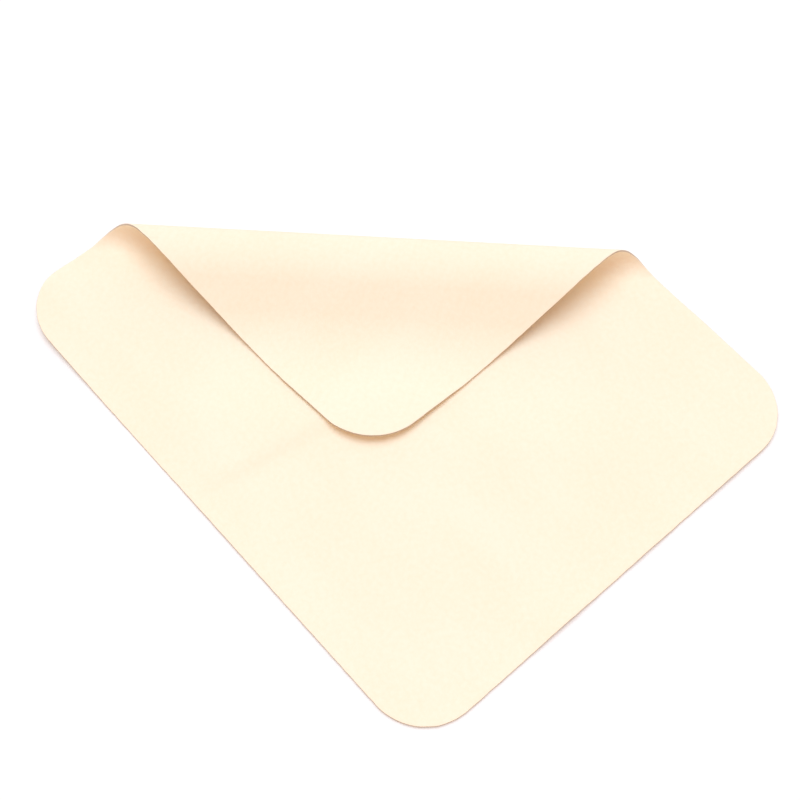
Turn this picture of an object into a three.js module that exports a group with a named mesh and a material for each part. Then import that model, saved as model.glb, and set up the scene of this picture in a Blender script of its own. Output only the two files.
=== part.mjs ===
// Glasses cleaning cloth: one die-cut sheet of suede microfibre with rounded corners and a plain cut
// edge. It lies flat, with its far corner turned over towards the front in a soft, open roll.
//
// A cloth bends without stretching, so the turned corner is the flat cut laid over a section made of
// tangent arcs: the roll stands up from the table and turns over, a wide shoulder leads it into a
// straight fall, and the flap settles onto the panel in a wide arc that turns its tip up a little. The
// bending part of the sheet is divided across the fold into strips. Each strip hangs on the one before
// it by a hinge along the fold, at the middle of the sheet's thickness, so turning every hinge back to
// zero lays the whole cut flat.
//
// Frame: millimetres, +Z up. The origin is the middle of the cut sheet, on its underside. X runs along
// the fold line, and Y runs across it towards the turned corner.
import * as THREE from 'three';

// The sheet as it is cut
const SHEET_LENGTH = 179;
const SHEET_WIDTH = 150;
const CORNER_RADIUS = 17.5;
const SHEET_THICKNESS = 0.6;

// The turned corner: angles are in degrees, and radii are of the middle of the thickness
const FOLD_TO_LONG_SIDE_ANGLE = 45.65;
const TURNED_DEPTH = 86; // from the square corner of the cut to the line where the sheet leaves the table
const ROLL_RADIUS = 5.75;
const ROLL_ANGLE = 168; // how far the roll turns before it opens into the shoulder
const SHOULDER_RADIUS = 18;
const FALL_ANGLE = 30; // slope of the straight fall below the shoulder
const SETTLING_RADIUS = 30;
const TIP_RISE_ANGLE = 12; // slope at which the tip stands off the panel
const FLAP_CLEARANCE = 0.3; // between the flap's lowest line and the panel

// How finely the sheet bends
const ROLL_STRIPS = 6;
const SHOULDER_STRIPS = 3;
const SETTLING_STRIPS = 3;
const STRIP_GAP = 0.3;
const FACET_ANGLE = 6;
const CORNER_STEPS = 10;

const radians = THREE.MathUtils.degToRad;
const roll = radians(ROLL_ANGLE);
const fall = radians(FALL_ANGLE);
const rise = radians(TIP_RISE_ANGLE);

// The straight fall reaches from the end of the shoulder down to the start of the settling arc, whose
// lowest line keeps the clearance above the panel. Heights are above the middle of the panel.
const shoulderEnd = ROLL_RADIUS * (1 - Math.cos(roll)) + SHOULDER_RADIUS * (Math.cos(roll) + Math.cos(fall));
const settlingStart = SHEET_THICKNESS + FLAP_CLEARANCE + SETTLING_RADIUS * (1 - Math.cos(fall));
const fallLength = (shoulderEnd - settlingStart) / Math.sin(fall);

// Strips of equal bend that share an arc of the section
function arcStrips(radius, angle, count) {
  const bend = angle / count;
  return Array.from({ length: count }, () => ({ bend, length: radius * Math.abs(bend) }));
}

const foldStrips = [
  ...arcStrips(ROLL_RADIUS, roll, ROLL_STRIPS),
  ...arcStrips(SHOULDER_RADIUS, Math.PI + fall - roll, SHOULDER_STRIPS),
];
const flapStrips = [
  { bend: 0, length: fallLength },
  ...arcStrips(SETTLING_RADIUS, -fall - rise, SETTLING_STRIPS),
];

// The cut's outline, turned so that x runs along the fold and y across it, towards the turned corner
function sheetOutline() {
  const x = SHEET_LENGTH / 2 - CORNER_RADIUS;
  const y = SHEET_WIDTH / 2 - CORNER_RADIUS;
  const corners = [[x, y], [-x, y], [-x, -y], [x, -y]];
  const cut = new THREE.Shape();
  corners.forEach(([centreX, centreY], quarter) => {
    const start = quarter * Math.PI / 2;
    cut.absarc(centreX, centreY, CORNER_RADIUS, start, start + Math.PI / 2);
  });
  const middle = new THREE.Vector2();
  return cut.getPoints(CORNER_STEPS).map((p) => p.rotateAround(middle, -radians(FOLD_TO_LONG_SIDE_ANGLE)));
}

const outline = sheetOutline();

// Line across which the sheet leaves the table, from the corner that is turned over
const squareCorner = new THREE.Vector2(-SHEET_LENGTH / 2, SHEET_WIDTH / 2);
squareCorner.rotateAround(new THREE.Vector2(), -radians(FOLD_TO_LONG_SIDE_ANGLE));
const foldLine = squareCorner.y - TURNED_DEPTH;

// Where the outline crosses a line parallel to the fold
function crossings(level) {
  return outline.flatMap((p, i) => {
    const q = outline[(i + 1) % outline.length];
    const crosses = (p.y < level) !== (q.y < level);
    return crosses ? [p.clone().lerp(q, (level - p.y) / (q.y - p.y))] : [];
  });
}

// Left and right ends of the sheet on a line parallel to the fold
function sheetEnds(level) {
  const ends = crossings(level).map((p) => p.x);
  return [Math.min(...ends), Math.max(...ends)];
}

// Flat piece of the cut on one side of a line parallel to the fold, its thickness centred on z = 0
function flatPiece(level, keeps) {
  const kept = outline.filter((p) => keeps * (p.y - level) > 0);
  const points = [...kept, ...crossings(level)];
  const centre = points.reduce((sum, p) => sum.add(p), new THREE.Vector2()).divideScalar(points.length);
  points.sort((p, q) => p.clone().sub(centre).angle() - q.clone().sub(centre).angle());
  const thickness = { depth: SHEET_THICKNESS, bevelEnabled: false };
  const piece = new THREE.ExtrudeGeometry(new THREE.Shape(points), thickness);
  return piece.translate(0, 0, -SHEET_THICKNESS / 2);
}

// Place and slope on the middle line of a strip, whose hinge is at the origin and whose far end is
// level with the hinge
function onStrip({ bend, length }, along) {
  if (bend === 0) {
    return { y: along, z: 0, slope: 0 };
  }
  const radius = length / bend;
  const slope = bend * (along / length - 0.5);
  return {
    y: radius * (Math.sin(bend / 2) + Math.sin(slope)),
    z: radius * (Math.cos(bend / 2) - Math.cos(slope)),
    slope,
  };
}

// Strip of the cut, bent as the section is. A box is divided along the bend, and its corners are laid
// on the sheet's edges and faces.
function bentStrip(strip, flatStart) {
  const facets = Math.max(1, Math.ceil(Math.abs(strip.bend) / radians(FACET_ANGLE)));
  const solid = new THREE.BoxGeometry(1, 1, 1, 1, facets, 1);
  const corner = new THREE.Vector3();
  const { position } = solid.attributes;
  for (let i = 0; i < position.count; i += 1) {
    corner.fromBufferAttribute(position, i);
    const along = STRIP_GAP / 2 + (corner.y + 0.5) * (strip.length - STRIP_GAP);
    const [left, right] = sheetEnds(flatStart + along);
    const { y, z, slope } = onStrip(strip, along);
    const offMiddle = corner.z * SHEET_THICKNESS;
    position.setXYZ(
      i,
      THREE.MathUtils.lerp(left, right, corner.x + 0.5),
      y - offMiddle * Math.sin(slope),
      z + offMiddle * Math.cos(slope),
    );
  }
  solid.computeVertexNormals();
  return solid;
}

// Undyed suede microfibre: cream, fully matt
const suede = new THREE.MeshStandardMaterial({ color: 0xfdf1dc, roughness: 0.95, metalness: 0 });

function zone(name, geometry) {
  const mesh = new THREE.Mesh(geometry, suede);
  mesh.name = name;
  return mesh;
}

// The panel that lies on the table
const cloth = new THREE.Group();
const panel = new THREE.Group();
panel.position.z = SHEET_THICKNESS / 2;
panel.add(zone('main_panel', flatPiece(foldLine - STRIP_GAP / 2, -1)));
cloth.add(panel);

// Adds a hinge at the far end of the last zone, turned by half of each neighbour's own bend, which
// keeps the bent sheet smooth from one zone to the next
function addHinge(parent, reach, bendBefore, bendAfter) {
  const hinge = new THREE.Group();
  hinge.position.y = reach;
  hinge.rotation.x = (bendBefore + bendAfter) / 2;
  parent.add(hinge);
  return hinge;
}

// The roll with its shoulder, and the flap below them, strip by strip
const strips = [
  ...foldStrips.map((strip, i) => ({ ...strip, name: `fold_strip_${i + 1}` })),
  ...flapStrips.map((strip, i) => ({ ...strip, name: `flap_strip_${i + 1}` })),
];
let last = { hinge: panel, reach: foldLine, bend: 0 };
let flatStart = foldLine;
for (const strip of strips) {
  const hinge = addHinge(last.hinge, last.reach, last.bend, strip.bend);
  hinge.add(zone(strip.name, bentStrip(strip, flatStart)));
  last = { hinge, reach: onStrip(strip, strip.length).y, bend: strip.bend };
  flatStart += strip.length;
}

// The flat tip of the flap, with the rounded corner of the cut
const tipHinge = addHinge(last.hinge, last.reach, last.bend, 0);
tipHinge.add(zone('flap_corner', flatPiece(flatStart + STRIP_GAP / 2, 1).translate(0, -flatStart, 0)));

export default cloth;
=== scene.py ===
import math
from collections import namedtuple

import bpy
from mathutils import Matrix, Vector, noise


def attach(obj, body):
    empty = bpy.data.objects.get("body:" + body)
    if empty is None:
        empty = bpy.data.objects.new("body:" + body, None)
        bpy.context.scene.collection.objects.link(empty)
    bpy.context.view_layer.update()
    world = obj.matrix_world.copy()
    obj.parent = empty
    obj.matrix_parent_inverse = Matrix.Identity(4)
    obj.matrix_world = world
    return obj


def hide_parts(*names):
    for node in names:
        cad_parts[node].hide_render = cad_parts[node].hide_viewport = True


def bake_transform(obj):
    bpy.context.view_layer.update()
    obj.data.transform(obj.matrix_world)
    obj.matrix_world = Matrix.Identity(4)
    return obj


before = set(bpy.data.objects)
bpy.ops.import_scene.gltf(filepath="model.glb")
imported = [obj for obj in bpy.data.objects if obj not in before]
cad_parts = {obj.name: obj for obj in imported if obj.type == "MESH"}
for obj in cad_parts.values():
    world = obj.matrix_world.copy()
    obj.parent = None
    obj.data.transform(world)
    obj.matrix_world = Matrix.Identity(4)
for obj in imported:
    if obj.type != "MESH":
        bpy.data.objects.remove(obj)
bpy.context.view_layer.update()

# Camera: it stands in front of the near corner and looks down at the cloth, with the far corner
# turned over towards it. The place, the tilt and the lens come from fitting the cut's outline.
bpy.ops.object.select_all(action="DESELECT")
bpy.ops.object.camera_add(
    location=(-0.004879, -0.226159, 0.457295),
    rotation=(math.radians(24.925), math.radians(-1.685), math.radians(2.529)),
)
camera = bpy.context.object
camera.name = "camera"
camera.data.sensor_width = 36
camera.data.lens = 78.247
bpy.context.scene.camera = camera

# Flat cut: the cloth as it leaves the die, one layer of suede microfibre with rounded corners and
# a raw edge that the blade has pressed a little rounder. It is turned so that the fold runs along X,
# and every piece below is cut out of it.
SHEET_LENGTH = 0.179
SHEET_WIDTH = 0.150
SHEET_THICKNESS = 0.0006
CORNER_RADIUS = 0.0175
CORNER_SEGMENTS = 28
SQUARE_EDGE = math.radians(60)
EDGE_ROUNDING = 0.00018
EDGE_SEGMENTS = 3
EDGE_RING = 0.0005
LEVEL_FACE = 0.99
FOLD_TO_LONG_SIDE = math.radians(45.65)

bpy.ops.object.select_all(action="DESELECT")
bpy.ops.mesh.primitive_plane_add(size=1)
flat_cut = bpy.context.object
flat_cut.name = "flat_cut"
flat_cut.scale = (SHEET_LENGTH, SHEET_WIDTH, 1)
bpy.ops.object.transform_apply(location=False, rotation=False, scale=True)
bpy.ops.object.mode_set(mode="EDIT")
bpy.ops.mesh.select_all(action="SELECT")
bpy.ops.mesh.bevel(offset=CORNER_RADIUS, segments=CORNER_SEGMENTS, affect="VERTICES")
bpy.ops.object.mode_set(mode="OBJECT")
layer = flat_cut.modifiers.new("layer", "SOLIDIFY")
layer.thickness = SHEET_THICKNESS
layer.offset = 0
bpy.ops.object.modifier_apply(modifier="layer")
bpy.ops.object.mode_set(mode="EDIT")
bpy.ops.mesh.select_mode(type="EDGE")
bpy.ops.mesh.select_all(action="DESELECT")
bpy.ops.mesh.edges_select_sharp(sharpness=SQUARE_EDGE)
bpy.ops.mesh.bevel(offset=EDGE_ROUNDING, segments=EDGE_SEGMENTS, affect="EDGES")
bpy.ops.mesh.select_mode(type="FACE")
bpy.ops.mesh.select_all(action="DESELECT")
bpy.ops.object.mode_set(mode="OBJECT")
for face in flat_cut.data.polygons:
    face.select = abs(face.normal.z) > LEVEL_FACE
bpy.ops.object.mode_set(mode="EDIT")
bpy.ops.mesh.inset(thickness=EDGE_RING, depth=0)
bpy.ops.mesh.select_all(action="SELECT")
bpy.ops.mesh.normals_make_consistent(inside=False)
bpy.ops.object.mode_set(mode="OBJECT")
flat_cut.rotation_euler.z = -FOLD_TO_LONG_SIDE
bpy.ops.object.transform_apply(location=False, rotation=True, scale=False)


def on_cut(point):
    """A point of the turned cut in the cut's own axes: x along the long side, y along the short one."""
    along_long = point.x * math.cos(FOLD_TO_LONG_SIDE) - point.y * math.sin(FOLD_TO_LONG_SIDE)
    along_short = point.x * math.sin(FOLD_TO_LONG_SIDE) + point.y * math.cos(FOLD_TO_LONG_SIDE)
    return along_long, along_short


# Suede microfibre: undyed cream fibre, sanded to a short matt nap. The nap stands in fine clumps and lies in
# faint broad strokes. The cut edge's wall is painted darker: partly its cut fibre ends, partly painted shade
# for the shaded edge and the contact shadow under it.
SUEDE_LIGHT = (0.990, 0.915, 0.740, 1)
SUEDE_DEEP = (0.980, 0.875, 0.682, 1)
SUEDE_EDGE_AND_SHADE = (0.560, 0.480, 0.380, 1)
NAP_DIRECTION = math.radians(28)
STROKES_IN_TONE = 0.45
CLUMPS_IN_TONE = 0.55
DEEPEST_TONE = 0.36
LIGHTEST_TONE = 0.62
LEAST_ROUGHNESS = 0.88
CLUMPS_IN_ROUGHNESS = 0.12
CLUMPS_IN_HEIGHT = 0.5
FIBRES_IN_HEIGHT = 0.5
NAP_HEIGHT = 0.00016

suede = bpy.data.materials.new("suede_microfibre")
suede.use_nodes = True
suede_nodes = suede.node_tree.nodes
suede_links = suede.node_tree.links
suede_surface = suede_nodes["Principled BSDF"]
suede_surface.inputs["Specular IOR Level"].default_value = 0.15
suede_surface.inputs["Sheen Weight"].default_value = 0.12
suede_surface.inputs["Sheen Roughness"].default_value = 0.7
suede_surface.inputs["Sheen Tint"].default_value = (1.0, 0.93, 0.82, 1)


def suede_noise(label, scale, detail, stretch=(1, 1, 1)):
    """Noise on the flat cut, with its scale per metre."""
    spread = suede_nodes.new("ShaderNodeMapping")
    spread.inputs["Scale"].default_value = stretch
    spread.inputs["Rotation"].default_value = (0, 0, NAP_DIRECTION)
    suede_links.new(suede_cut.outputs["UV"], spread.inputs["Vector"])
    made = suede_nodes.new("ShaderNodeTexNoise")
    made.label = label
    made.inputs["Scale"].default_value = scale
    made.inputs["Detail"].default_value = detail
    suede_links.new(spread.outputs["Vector"], made.inputs["Vector"])
    return made.outputs["Fac"]


def suede_math(operation, first, second):
    """Sum or product of two values of the suede's nodes, or of one of them and a number."""
    made = suede_nodes.new("ShaderNodeMath")
    made.operation = operation
    for socket, value in zip(made.inputs, (first, second)):
        if isinstance(value, float):
            socket.default_value = value
        else:
            suede_links.new(value, socket)
    return made.outputs[0]


suede_cut = suede_nodes.new("ShaderNodeUVMap")
suede_cut.uv_map = "flat_cut"
nap_strokes = suede_noise("strokes", scale=22, detail=3, stretch=(1, 2.2, 1))
nap_clumps = suede_noise("clumps", scale=700, detail=4)
nap_fibres = suede_noise("fibres", scale=2600, detail=2, stretch=(1, 1.8, 1))

nap_tone = suede_math(
    "ADD",
    suede_math("MULTIPLY", nap_strokes, STROKES_IN_TONE),
    suede_math("MULTIPLY", nap_clumps, CLUMPS_IN_TONE),
)
suede_colour = suede_nodes.new("ShaderNodeValToRGB")
suede_colour.color_ramp.elements[0].position = DEEPEST_TONE
suede_colour.color_ramp.elements[0].color = SUEDE_DEEP
suede_colour.color_ramp.elements[1].position = LIGHTEST_TONE
suede_colour.color_ramp.elements[1].color = SUEDE_LIGHT
suede_links.new(nap_tone, suede_colour.inputs["Fac"])

# Painted shade: the cut edge's wall is tinted darker, partly for its cut fibre ends and partly to stand for
# the shade on the edge and the contact shadow under it.
edge_and_shade_share = suede_nodes.new("ShaderNodeAttribute")
edge_and_shade_share.attribute_name = "edge_wall_and_shade"
edge_and_shade_tint = suede_nodes.new("ShaderNodeMix")
edge_and_shade_tint.data_type = "RGBA"
edge_and_shade_tint.inputs["B"].default_value = SUEDE_EDGE_AND_SHADE
suede_links.new(edge_and_shade_share.outputs["Fac"], edge_and_shade_tint.inputs["Factor"])
suede_links.new(suede_colour.outputs["Color"], edge_and_shade_tint.inputs["A"])
suede_links.new(edge_and_shade_tint.outputs["Result"], suede_surface.inputs["Base Color"])

nap_roughness = suede_math(
    "ADD",
    suede_math("MULTIPLY", nap_clumps, CLUMPS_IN_ROUGHNESS),
    LEAST_ROUGHNESS,
)
suede_links.new(nap_roughness, suede_surface.inputs["Roughness"])

nap_height = suede_math(
    "ADD",
    suede_math("MULTIPLY", nap_clumps, CLUMPS_IN_HEIGHT),
    suede_math("MULTIPLY", nap_fibres, FIBRES_IN_HEIGHT),
)
nap_bump = suede_nodes.new("ShaderNodeBump")
nap_bump.inputs["Strength"].default_value = 0.5
nap_bump.inputs["Distance"].default_value = NAP_HEIGHT
suede_links.new(nap_height, nap_bump.inputs["Height"])
suede_links.new(nap_bump.outputs["Normal"], suede_surface.inputs["Normal"])

# Main panel: the part of the cloth that lies on the table, with three of the rounded corners. It bulges
# softly in front of the flap, its rim curls up by a hair, its left corner and near right edge stand off
# the table, and an old crease from its pack runs across it.
TURNED_DEPTH = 0.086
FOLD_LINE = SHEET_LENGTH / 2 * math.sin(FOLD_TO_LONG_SIDE)
FOLD_LINE += SHEET_WIDTH / 2 * math.cos(FOLD_TO_LONG_SIDE)
FOLD_LINE -= TURNED_DEPTH
BAND_OVERREACH = 0.0003
CUT_PRECISION = 0.000001
PANEL_GRID = 0.0015
PANEL_ROWS = 93
SMOOTH_ANGLE = math.radians(36)
EDGE_BAND = 1.5 * EDGE_ROUNDING
EDGE_WALL_HEIGHT = 0.9 * SHEET_THICKNESS / 2
EDGE_RAGGED = 0.00009
COARSE_RAGS = 330
FINE_RAGS = 1100
FINE_SHARE = 0.6
FINE_LAYER = 3

FLAT_BY_FOLD = 0.014
FLAT_UNDER_FLAP = -0.004
RIM_CURL = 0.0003
RIM_REACH = 0.005
LOW_RIM_PLACE = -0.026
LOW_RIM_REACH = 0.024
LOW_RIM_DEPTH = 0.012
BELLY_HEIGHT = 0.0020
BELLY_RISE = 0.026
BELLY_FROM_NEAR_LEFT = 0.046
BELLY_FROM_ENDS = 0.060
LEFT_CORNER_LIFT = 0.0020
LEFT_CORNER_REACH = 0.044
RIGHT_CORNER_LIFT = 0.0005
RIGHT_CORNER_REACH = 0.038
RIGHT_EDGE_LIFT = 0.0005
RIGHT_EDGE_PLACE = 0.058
RIGHT_EDGE_REACH = 0.026
RIGHT_EDGE_DEPTH = 0.010
WAVE_DEPTH = 0.016
CREASE_HEIGHT = 0.0010
CREASE_FOOT = (0.003, -0.040)
CREASE_SLANT = 0.19
CREASE_STEEP = 0.006
CREASE_FADE = 0.050
CREASE_FROM_NEAR_LEFT = 0.016
CREASE_FROM_FLAP = 0.020

Wave = namedtuple("Wave", "height place reach")
NEAR_RIGHT_WAVES = (Wave(0.0007, -0.021, 0.018), Wave(0.0004, 0.012, 0.015), Wave(0.0005, 0.043, 0.016))


def cut_out(name, start, end, lines_across, column):
    """A copy of the flat cut between two lines parallel to the fold, divided by more of them and into
    columns square to them."""
    piece = flat_cut.copy()
    piece.data = flat_cut.data.copy()
    piece.name = name
    piece.data.name = name
    bpy.context.collection.objects.link(piece)
    bpy.ops.object.select_all(action="DESELECT")
    piece.select_set(True)
    bpy.context.view_layer.objects.active = piece
    bpy.ops.object.mode_set(mode="EDIT")

    def cut(place, square, **keeps):
        bpy.ops.mesh.select_all(action="SELECT")
        bpy.ops.mesh.bisect(plane_co=place, plane_no=square, threshold=CUT_PRECISION, **keeps)

    if start is not None:
        cut((0, start, 0), (0, 1, 0), use_fill=True, clear_inner=True)
    if end is not None:
        cut((0, end, 0), (0, 1, 0), use_fill=True, clear_outer=True)
    for line in lines_across:
        cut((0, line, 0), (0, 1, 0))
    columns = math.ceil(SHEET_LENGTH / column)
    for i in range(-columns, columns + 1):
        cut((column * i, 0, 0), (1, 0, 0))
    bpy.ops.object.mode_set(mode="OBJECT")
    return piece


def from_edge(point):
    """Distance of a flat point outside the cut's outline, and the way out of it."""
    x, y = on_cut(point)
    past_x = abs(x) - (SHEET_LENGTH / 2 - CORNER_RADIUS)
    past_y = abs(y) - (SHEET_WIDTH / 2 - CORNER_RADIUS)
    if past_x > 0 and past_y > 0:
        reach = math.hypot(past_x, past_y)
        out = (past_x / reach, past_y / reach)
    else:
        reach = max(past_x, past_y)
        out = (1, 0) if past_x > past_y else (0, 1)
    out_x = math.copysign(out[0], x)
    out_y = math.copysign(out[1], y)
    turned = Vector((
        out_x * math.cos(FOLD_TO_LONG_SIDE) + out_y * math.sin(FOLD_TO_LONG_SIDE),
        out_y * math.cos(FOLD_TO_LONG_SIDE) - out_x * math.sin(FOLD_TO_LONG_SIDE),
        0,
    ))
    return reach - CORNER_RADIUS, turned


def dress_edge(piece):
    """Keeps the flat place of every corner as the UV map, makes the cut edge a little ragged, and marks the
    edge's wall for the suede's painted shade.
    """
    cut_map = piece.data.uv_layers.new(name="flat_cut")
    for loop in piece.data.loops:
        cut_map.data[loop.index].uv = on_cut(piece.data.vertices[loop.vertex_index].co)
    for old_map in [uv_map for uv_map in piece.data.uv_layers if uv_map.name != "flat_cut"]:
        piece.data.uv_layers.remove(old_map)
    # Marks the cut edge's wall, which the suede paints darker: partly cut fibre ends, partly painted shade.
    edge_wall_and_shade = piece.data.attributes.new("edge_wall_and_shade", "FLOAT", "POINT")
    for vertex in piece.data.vertices:
        outside, out = from_edge(vertex.co)
        if outside > -EDGE_BAND:
            coarse = noise.noise(Vector((vertex.co.x * COARSE_RAGS, vertex.co.y * COARSE_RAGS, 0)))
            fine = noise.noise(Vector((vertex.co.x * FINE_RAGS, vertex.co.y * FINE_RAGS, FINE_LAYER)))
            vertex.co += out * EDGE_RAGGED * (coarse + FINE_SHARE * fine)
            edge_wall_and_shade.data[vertex.index].value = abs(vertex.co.z) < EDGE_WALL_HEIGHT


def finish_cloth(piece):
    """Smooth shading over the cloth's faces with its cut edges kept, and the suede on all of it."""
    bpy.ops.object.select_all(action="DESELECT")
    piece.select_set(True)
    bpy.context.view_layer.objects.active = piece
    bpy.ops.object.shade_smooth_by_angle(angle=SMOOTH_ANGLE)
    piece.data.materials.clear()
    piece.data.materials.append(suede)


def swell(distance, reach):
    """1 in the middle of a rise, falling softly to 0 at its reach."""
    share = min(abs(distance) / reach, 1.0)
    return (1 - share * share) ** 2


def climb(distance, reach):
    """0 at the foot of a slope, rising softly to 1 at its reach."""
    share = min(max(distance / reach, 0.0), 1.0)
    return share * share * (3 - 2 * share)


def panel_lift(point):
    """How far the panel stands off the table at a point of the turned cut."""
    x, y = on_cut(point)
    to_left = x + SHEET_LENGTH / 2
    to_near_right = SHEET_LENGTH / 2 - x
    to_near_left = y + SHEET_WIDTH / 2
    to_right_far = SHEET_WIDTH / 2 - y
    past_flap = FLAT_UNDER_FLAP - point.y

    rim = RIM_CURL * (1 - climb(-from_edge(point)[0], RIM_REACH))
    rim *= 1 - swell(x - LOW_RIM_PLACE, LOW_RIM_REACH) * swell(to_near_left, LOW_RIM_DEPTH)

    belly = BELLY_HEIGHT * climb(past_flap, BELLY_RISE) * climb(to_near_left, BELLY_FROM_NEAR_LEFT)
    belly *= climb(to_near_right, BELLY_FROM_ENDS) * climb(to_left, BELLY_FROM_ENDS)

    left_corner = LEFT_CORNER_LIFT * swell(math.hypot(to_left, to_near_left), LEFT_CORNER_REACH)
    right_corner = RIGHT_CORNER_LIFT * swell(math.hypot(to_near_right, to_right_far), RIGHT_CORNER_REACH)
    right_edge = RIGHT_EDGE_LIFT * swell(x - RIGHT_EDGE_PLACE, RIGHT_EDGE_REACH)
    right_edge *= swell(to_right_far, RIGHT_EDGE_DEPTH)

    waves = sum(wave.height * swell(y - wave.place, wave.reach) for wave in NEAR_RIGHT_WAVES)
    waves *= swell(to_near_right, WAVE_DEPTH)

    foot_x, foot_y = CREASE_FOOT
    left_of_crease = foot_x + CREASE_SLANT * (y - foot_y) - x
    crease = CREASE_HEIGHT * climb(left_of_crease, CREASE_STEEP)
    crease *= 1 - climb(left_of_crease - CREASE_STEEP, CREASE_FADE)
    crease *= climb(to_near_left, CREASE_FROM_NEAR_LEFT) * climb(past_flap, CREASE_FROM_FLAP)

    return rim + belly + left_corner + right_corner + right_edge + waves + crease


panel_rows = [FOLD_LINE - PANEL_GRID * i for i in range(1, PANEL_ROWS + 1)]
panel_edge = FOLD_LINE - BAND_OVERREACH
panel = cut_out("panel", None, panel_edge, panel_rows, PANEL_GRID)
dress_edge(panel)
for vertex in panel.data.vertices:
    clear_of_fold = climb(panel_edge - vertex.co.y, FLAT_BY_FOLD)
    vertex.co.z += SHEET_THICKNESS / 2 + panel_lift(vertex.co) * clear_of_fold
finish_cloth(panel)
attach(panel, "main_panel")
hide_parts("main_panel")

# Roll: the far corner's side of the cloth turns over towards the front in an open roll without a
# crease, which opens into a wide shoulder. It is the same sheet, bent by hand and held by its own
# stiffness, so its pieces are bands of the cut laid over the section without stretch, one across each hinge.
ROLL_RADIUS = 0.00575
ROLL_ANGLE = math.radians(168)
ROLL_STRIPS = 6
SHOULDER_RADIUS = 0.018
SHOULDER_STRIPS = 3
FALL_ANGLE = math.radians(30)
SHOULDER_ANGLE = math.pi + FALL_ANGLE - ROLL_ANGLE
SETTLING_RADIUS = 0.030
SETTLING_STRIPS = 3
TIP_RISE_ANGLE = math.radians(12)
SETTLING_ANGLE = FALL_ANGLE + TIP_RISE_ANGLE
FLAP_CLEARANCE = 0.0003
SHOULDER_END = ROLL_RADIUS - (ROLL_RADIUS - SHOULDER_RADIUS) * math.cos(ROLL_ANGLE)
SHOULDER_END += SHOULDER_RADIUS * math.cos(FALL_ANGLE)
SETTLING_START = SHEET_THICKNESS + FLAP_CLEARANCE + SETTLING_RADIUS * (1 - math.cos(FALL_ANGLE))
FALL_LENGTH = (SHOULDER_END - SETTLING_START) / math.sin(FALL_ANGLE)
ARCS = (
    (ROLL_ANGLE, ROLL_RADIUS * ROLL_ANGLE),
    (SHOULDER_ANGLE, SHOULDER_RADIUS * SHOULDER_ANGLE),
    (0, FALL_LENGTH),
    (-SETTLING_ANGLE, SETTLING_RADIUS * SETTLING_ANGLE),
)
BAND_FACETS = 14
BAND_COLUMN = 0.006
CUT_MARGIN = 0.00004

Strip = namedtuple("Strip", "body bend length")


def section(line):
    """Place and slope of the middle of the sheet, for a line of the flat cut parallel to the fold."""
    y = min(line, FOLD_LINE)
    z = SHEET_THICKNESS / 2
    slope = 0
    beyond = max(line - FOLD_LINE, 0)
    for bend, length in ARCS:
        run = min(beyond, length)
        beyond -= run
        before = slope
        slope += bend * run / length
        if bend:
            y += length / bend * (math.sin(slope) - math.sin(before))
            z += length / bend * (math.cos(before) - math.cos(slope))
        else:
            y += run * math.cos(slope)
            z += run * math.sin(slope)
    return Vector((0, y + beyond * math.cos(slope), z + beyond * math.sin(slope))), slope


def lay_over(piece):
    """Lays a flat piece over the section, with the sheet's thickness square to it."""
    for vertex in piece.data.vertices:
        middle, slope = section(vertex.co.y)
        square = Vector((0, -math.sin(slope), math.cos(slope)))
        vertex.co = Vector((vertex.co.x, 0, 0)) + middle + square * vertex.co.z


def cut_inside(strip):
    """How far a band reaches into a strip: half way, or just past the hinge where the sheet is straight."""
    return strip.length / 2 if strip.bend else BAND_OVERREACH


def band(name, before, after, hinge_line):
    """Band of the sheet across the hinge between two strips, laid over the section where the sheet bends
    from one to the other; both strips' own parts are hidden."""
    start = hinge_line - cut_inside(before)
    end = hinge_line + cut_inside(after)
    lines = [start + (end - start) * i / BAND_FACETS for i in range(1, BAND_FACETS)]
    piece = cut_out(name, start, end, [start + CUT_MARGIN, *lines, end - CUT_MARGIN], BAND_COLUMN)
    dress_edge(piece)
    lay_over(piece)
    finish_cloth(piece)
    hinge, slope = section(hinge_line)
    along = Vector((0, math.cos(slope), math.sin(slope)))
    start_place = along.dot(section(start)[0] - hinge)
    end_place = along.dot(section(end)[0] - hinge)
    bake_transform(piece)
    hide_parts(before.body, after.body)
    return piece


roll_strip = (ROLL_ANGLE / ROLL_STRIPS, ROLL_RADIUS * ROLL_ANGLE / ROLL_STRIPS)
shoulder_strip = (SHOULDER_ANGLE / SHOULDER_STRIPS, SHOULDER_RADIUS * SHOULDER_ANGLE / SHOULDER_STRIPS)
fold_bends = [roll_strip] * ROLL_STRIPS + [shoulder_strip] * SHOULDER_STRIPS
fold_strips = [Strip(f"fold_strip_{i}", *strip) for i, strip in enumerate(fold_bends, start=1)]
hinge_line = FOLD_LINE
before = Strip("main_panel", 0, 0)
for number, after in enumerate(fold_strips, start=1):
    band(f"roll_{number}", before, after, hinge_line)
    hinge_line += after.length
    before = after

# Flap: below the shoulder the same sheet falls straight, then settles just clear of the panel in a
# wide curve. It bends back across its hinges.
settling_strip = (-SETTLING_ANGLE / SETTLING_STRIPS, SETTLING_RADIUS * SETTLING_ANGLE / SETTLING_STRIPS)
flap_bends = [(0, FALL_LENGTH)] + [settling_strip] * SETTLING_STRIPS
flap_strips = [Strip(f"flap_strip_{i}", *strip) for i, strip in enumerate(flap_bends, start=1)]
flap_strips.append(Strip("flap_corner", 0, 0))
for number, after in enumerate(flap_strips, start=1):
    band(f"flap_{number}", before, after, hinge_line)
    hinge_line += after.length
    before = after

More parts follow.
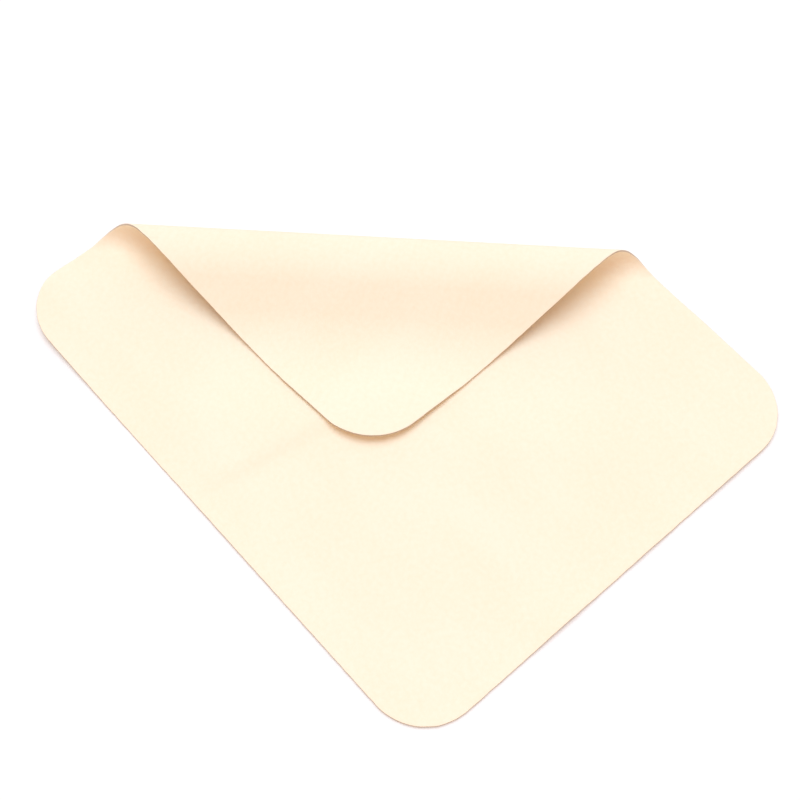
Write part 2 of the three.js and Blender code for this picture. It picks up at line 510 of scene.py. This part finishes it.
fall_start = FOLD_LINE + sum(strip.length for strip in fold_strips)
fall = cut_out(
    "fall",
    fall_start + BAND_OVERREACH,
    fall_start + FALL_LENGTH - BAND_OVERREACH,
    [fall_start + FALL_LENGTH / 2],
    BAND_COLUMN,
)
dress_edge(fall)
lay_over(fall)
finish_cloth(fall)
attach(fall, "flap_strip_1")
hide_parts("flap_strip_1")

# Tip: the fourth rounded corner of the cut, at the end of the flap. It is straight, and stands a few
# millimetres off the panel.
TIP_GRID = 0.0012
TIP_ROWS = 14
tip_start = hinge_line + BAND_OVERREACH
tip_rows = [tip_start + TIP_GRID * i for i in range(1, TIP_ROWS + 1)]
tip = cut_out("tip", tip_start, None, tip_rows, BAND_COLUMN)
dress_edge(tip)
lay_over(tip)
finish_cloth(tip)
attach(tip, "flap_corner")
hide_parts("flap_corner")

# Whole sheet: the panel, the roll, the flap and the tip are one cut of cloth with four rounded corners,
# folded over itself, so the flat cut they were taken from is removed.
bpy.data.objects.remove(flat_cut)

# Floor: a plain white table just under the cloth. It shows white to the eye, and keeps the soft shadow
# that the cloth casts on it.
FLOOR_SIZE = 6
FLOOR_DROP = 0.00003
FLOOR_WHITE = (0.82, 0.82, 0.82, 1)
FLOOR_LIFT = 0.17
bpy.ops.object.select_all(action="DESELECT")
bpy.ops.mesh.primitive_plane_add(size=FLOOR_SIZE, location=(0, 0, -FLOOR_DROP))
floor = bpy.context.object
floor.name = "floor"
table_white = bpy.data.materials.new("table_white")
table_white.use_nodes = True
table_nodes = table_white.node_tree.nodes
table_links = table_white.node_tree.links
table_nodes.remove(table_nodes["Principled BSDF"])
table_matt = table_nodes.new("ShaderNodeBsdfDiffuse")
table_matt.inputs["Color"].default_value = FLOOR_WHITE
table_glow = table_nodes.new("ShaderNodeEmission")
table_glow.inputs["Color"].default_value = (1, 1, 1, 1)
table_sum = table_nodes.new("ShaderNodeAddShader")
table_links.new(table_matt.outputs["BSDF"], table_sum.inputs[0])
table_links.new(table_glow.outputs["Emission"], table_sum.inputs[1])
table_links.new(table_sum.outputs["Shader"], table_nodes["Material Output"].inputs["Surface"])


def seen_rays(nodes, links):
    """1 for a ray that shows the surface to the eye, straight or by gloss or glass, and 0 otherwise."""
    path = nodes.new("ShaderNodeLightPath")
    gloss = nodes.new("ShaderNodeMath")
    gloss.operation = "MAXIMUM"
    links.new(path.outputs["Is Camera Ray"], gloss.inputs[0])
    links.new(path.outputs["Is Glossy Ray"], gloss.inputs[1])
    glass = nodes.new("ShaderNodeMath")
    glass.operation = "MAXIMUM"
    links.new(gloss.outputs[0], glass.inputs[0])
    links.new(path.outputs["Is Transmission Ray"], glass.inputs[1])
    return glass.outputs[0]


table_level = table_nodes.new("ShaderNodeMath")
table_level.operation = "MULTIPLY"
table_level.inputs[1].default_value = FLOOR_LIFT
table_links.new(seen_rays(table_nodes, table_links), table_level.inputs[0])
table_links.new(table_level.outputs[0], table_glow.inputs["Strength"])
floor.data.materials.append(table_white)

# Light: a warm, pale room fills the scene softly, and a cooler, distant lamp with a soft edge shines from
# above and a little behind, so the hollow of the roll and the near edges are in half shade.
ROOM_COLOUR = (1.0, 0.69, 0.56, 1)
ROOM_STRENGTH = 0.82
LAMP_WAY = Vector((-0.08, 0.34, 1.20))
LAMP_SPREAD = math.radians(50)
LAMP_STRENGTH = 1.96
LAMP_COLOUR = (0.566, 0.823, 1.0)
room = bpy.data.worlds.new("room")
bpy.context.scene.world = room
room.use_nodes = True
room_nodes = room.node_tree.nodes
room_links = room.node_tree.links
room_fill = room_nodes["Background"]
room_fill.inputs["Color"].default_value = ROOM_COLOUR
room_fill.inputs["Strength"].default_value = ROOM_STRENGTH
room_white = room_nodes.new("ShaderNodeBackground")
room_white.inputs["Color"].default_value = (1, 1, 1, 1)
room_white.inputs["Strength"].default_value = 1
room_mix = room_nodes.new("ShaderNodeMixShader")
room_links.new(seen_rays(room_nodes, room_links), room_mix.inputs["Fac"])
room_links.new(room_fill.outputs["Background"], room_mix.inputs[1])
room_links.new(room_white.outputs["Background"], room_mix.inputs[2])
room_links.new(room_mix.outputs["Shader"], room_nodes["World Output"].inputs["Surface"])

bpy.ops.object.light_add(type="SUN", location=LAMP_WAY)
lamp = bpy.context.object
lamp.name = "lamp"
lamp.rotation_euler = (-LAMP_WAY).to_track_quat("-Z", "Y").to_euler()
lamp.data.angle = LAMP_SPREAD
lamp.data.energy = LAMP_STRENGTH
lamp.data.color = LAMP_COLOUR

bpy.context.scene.view_settings.view_transform = "Standard"
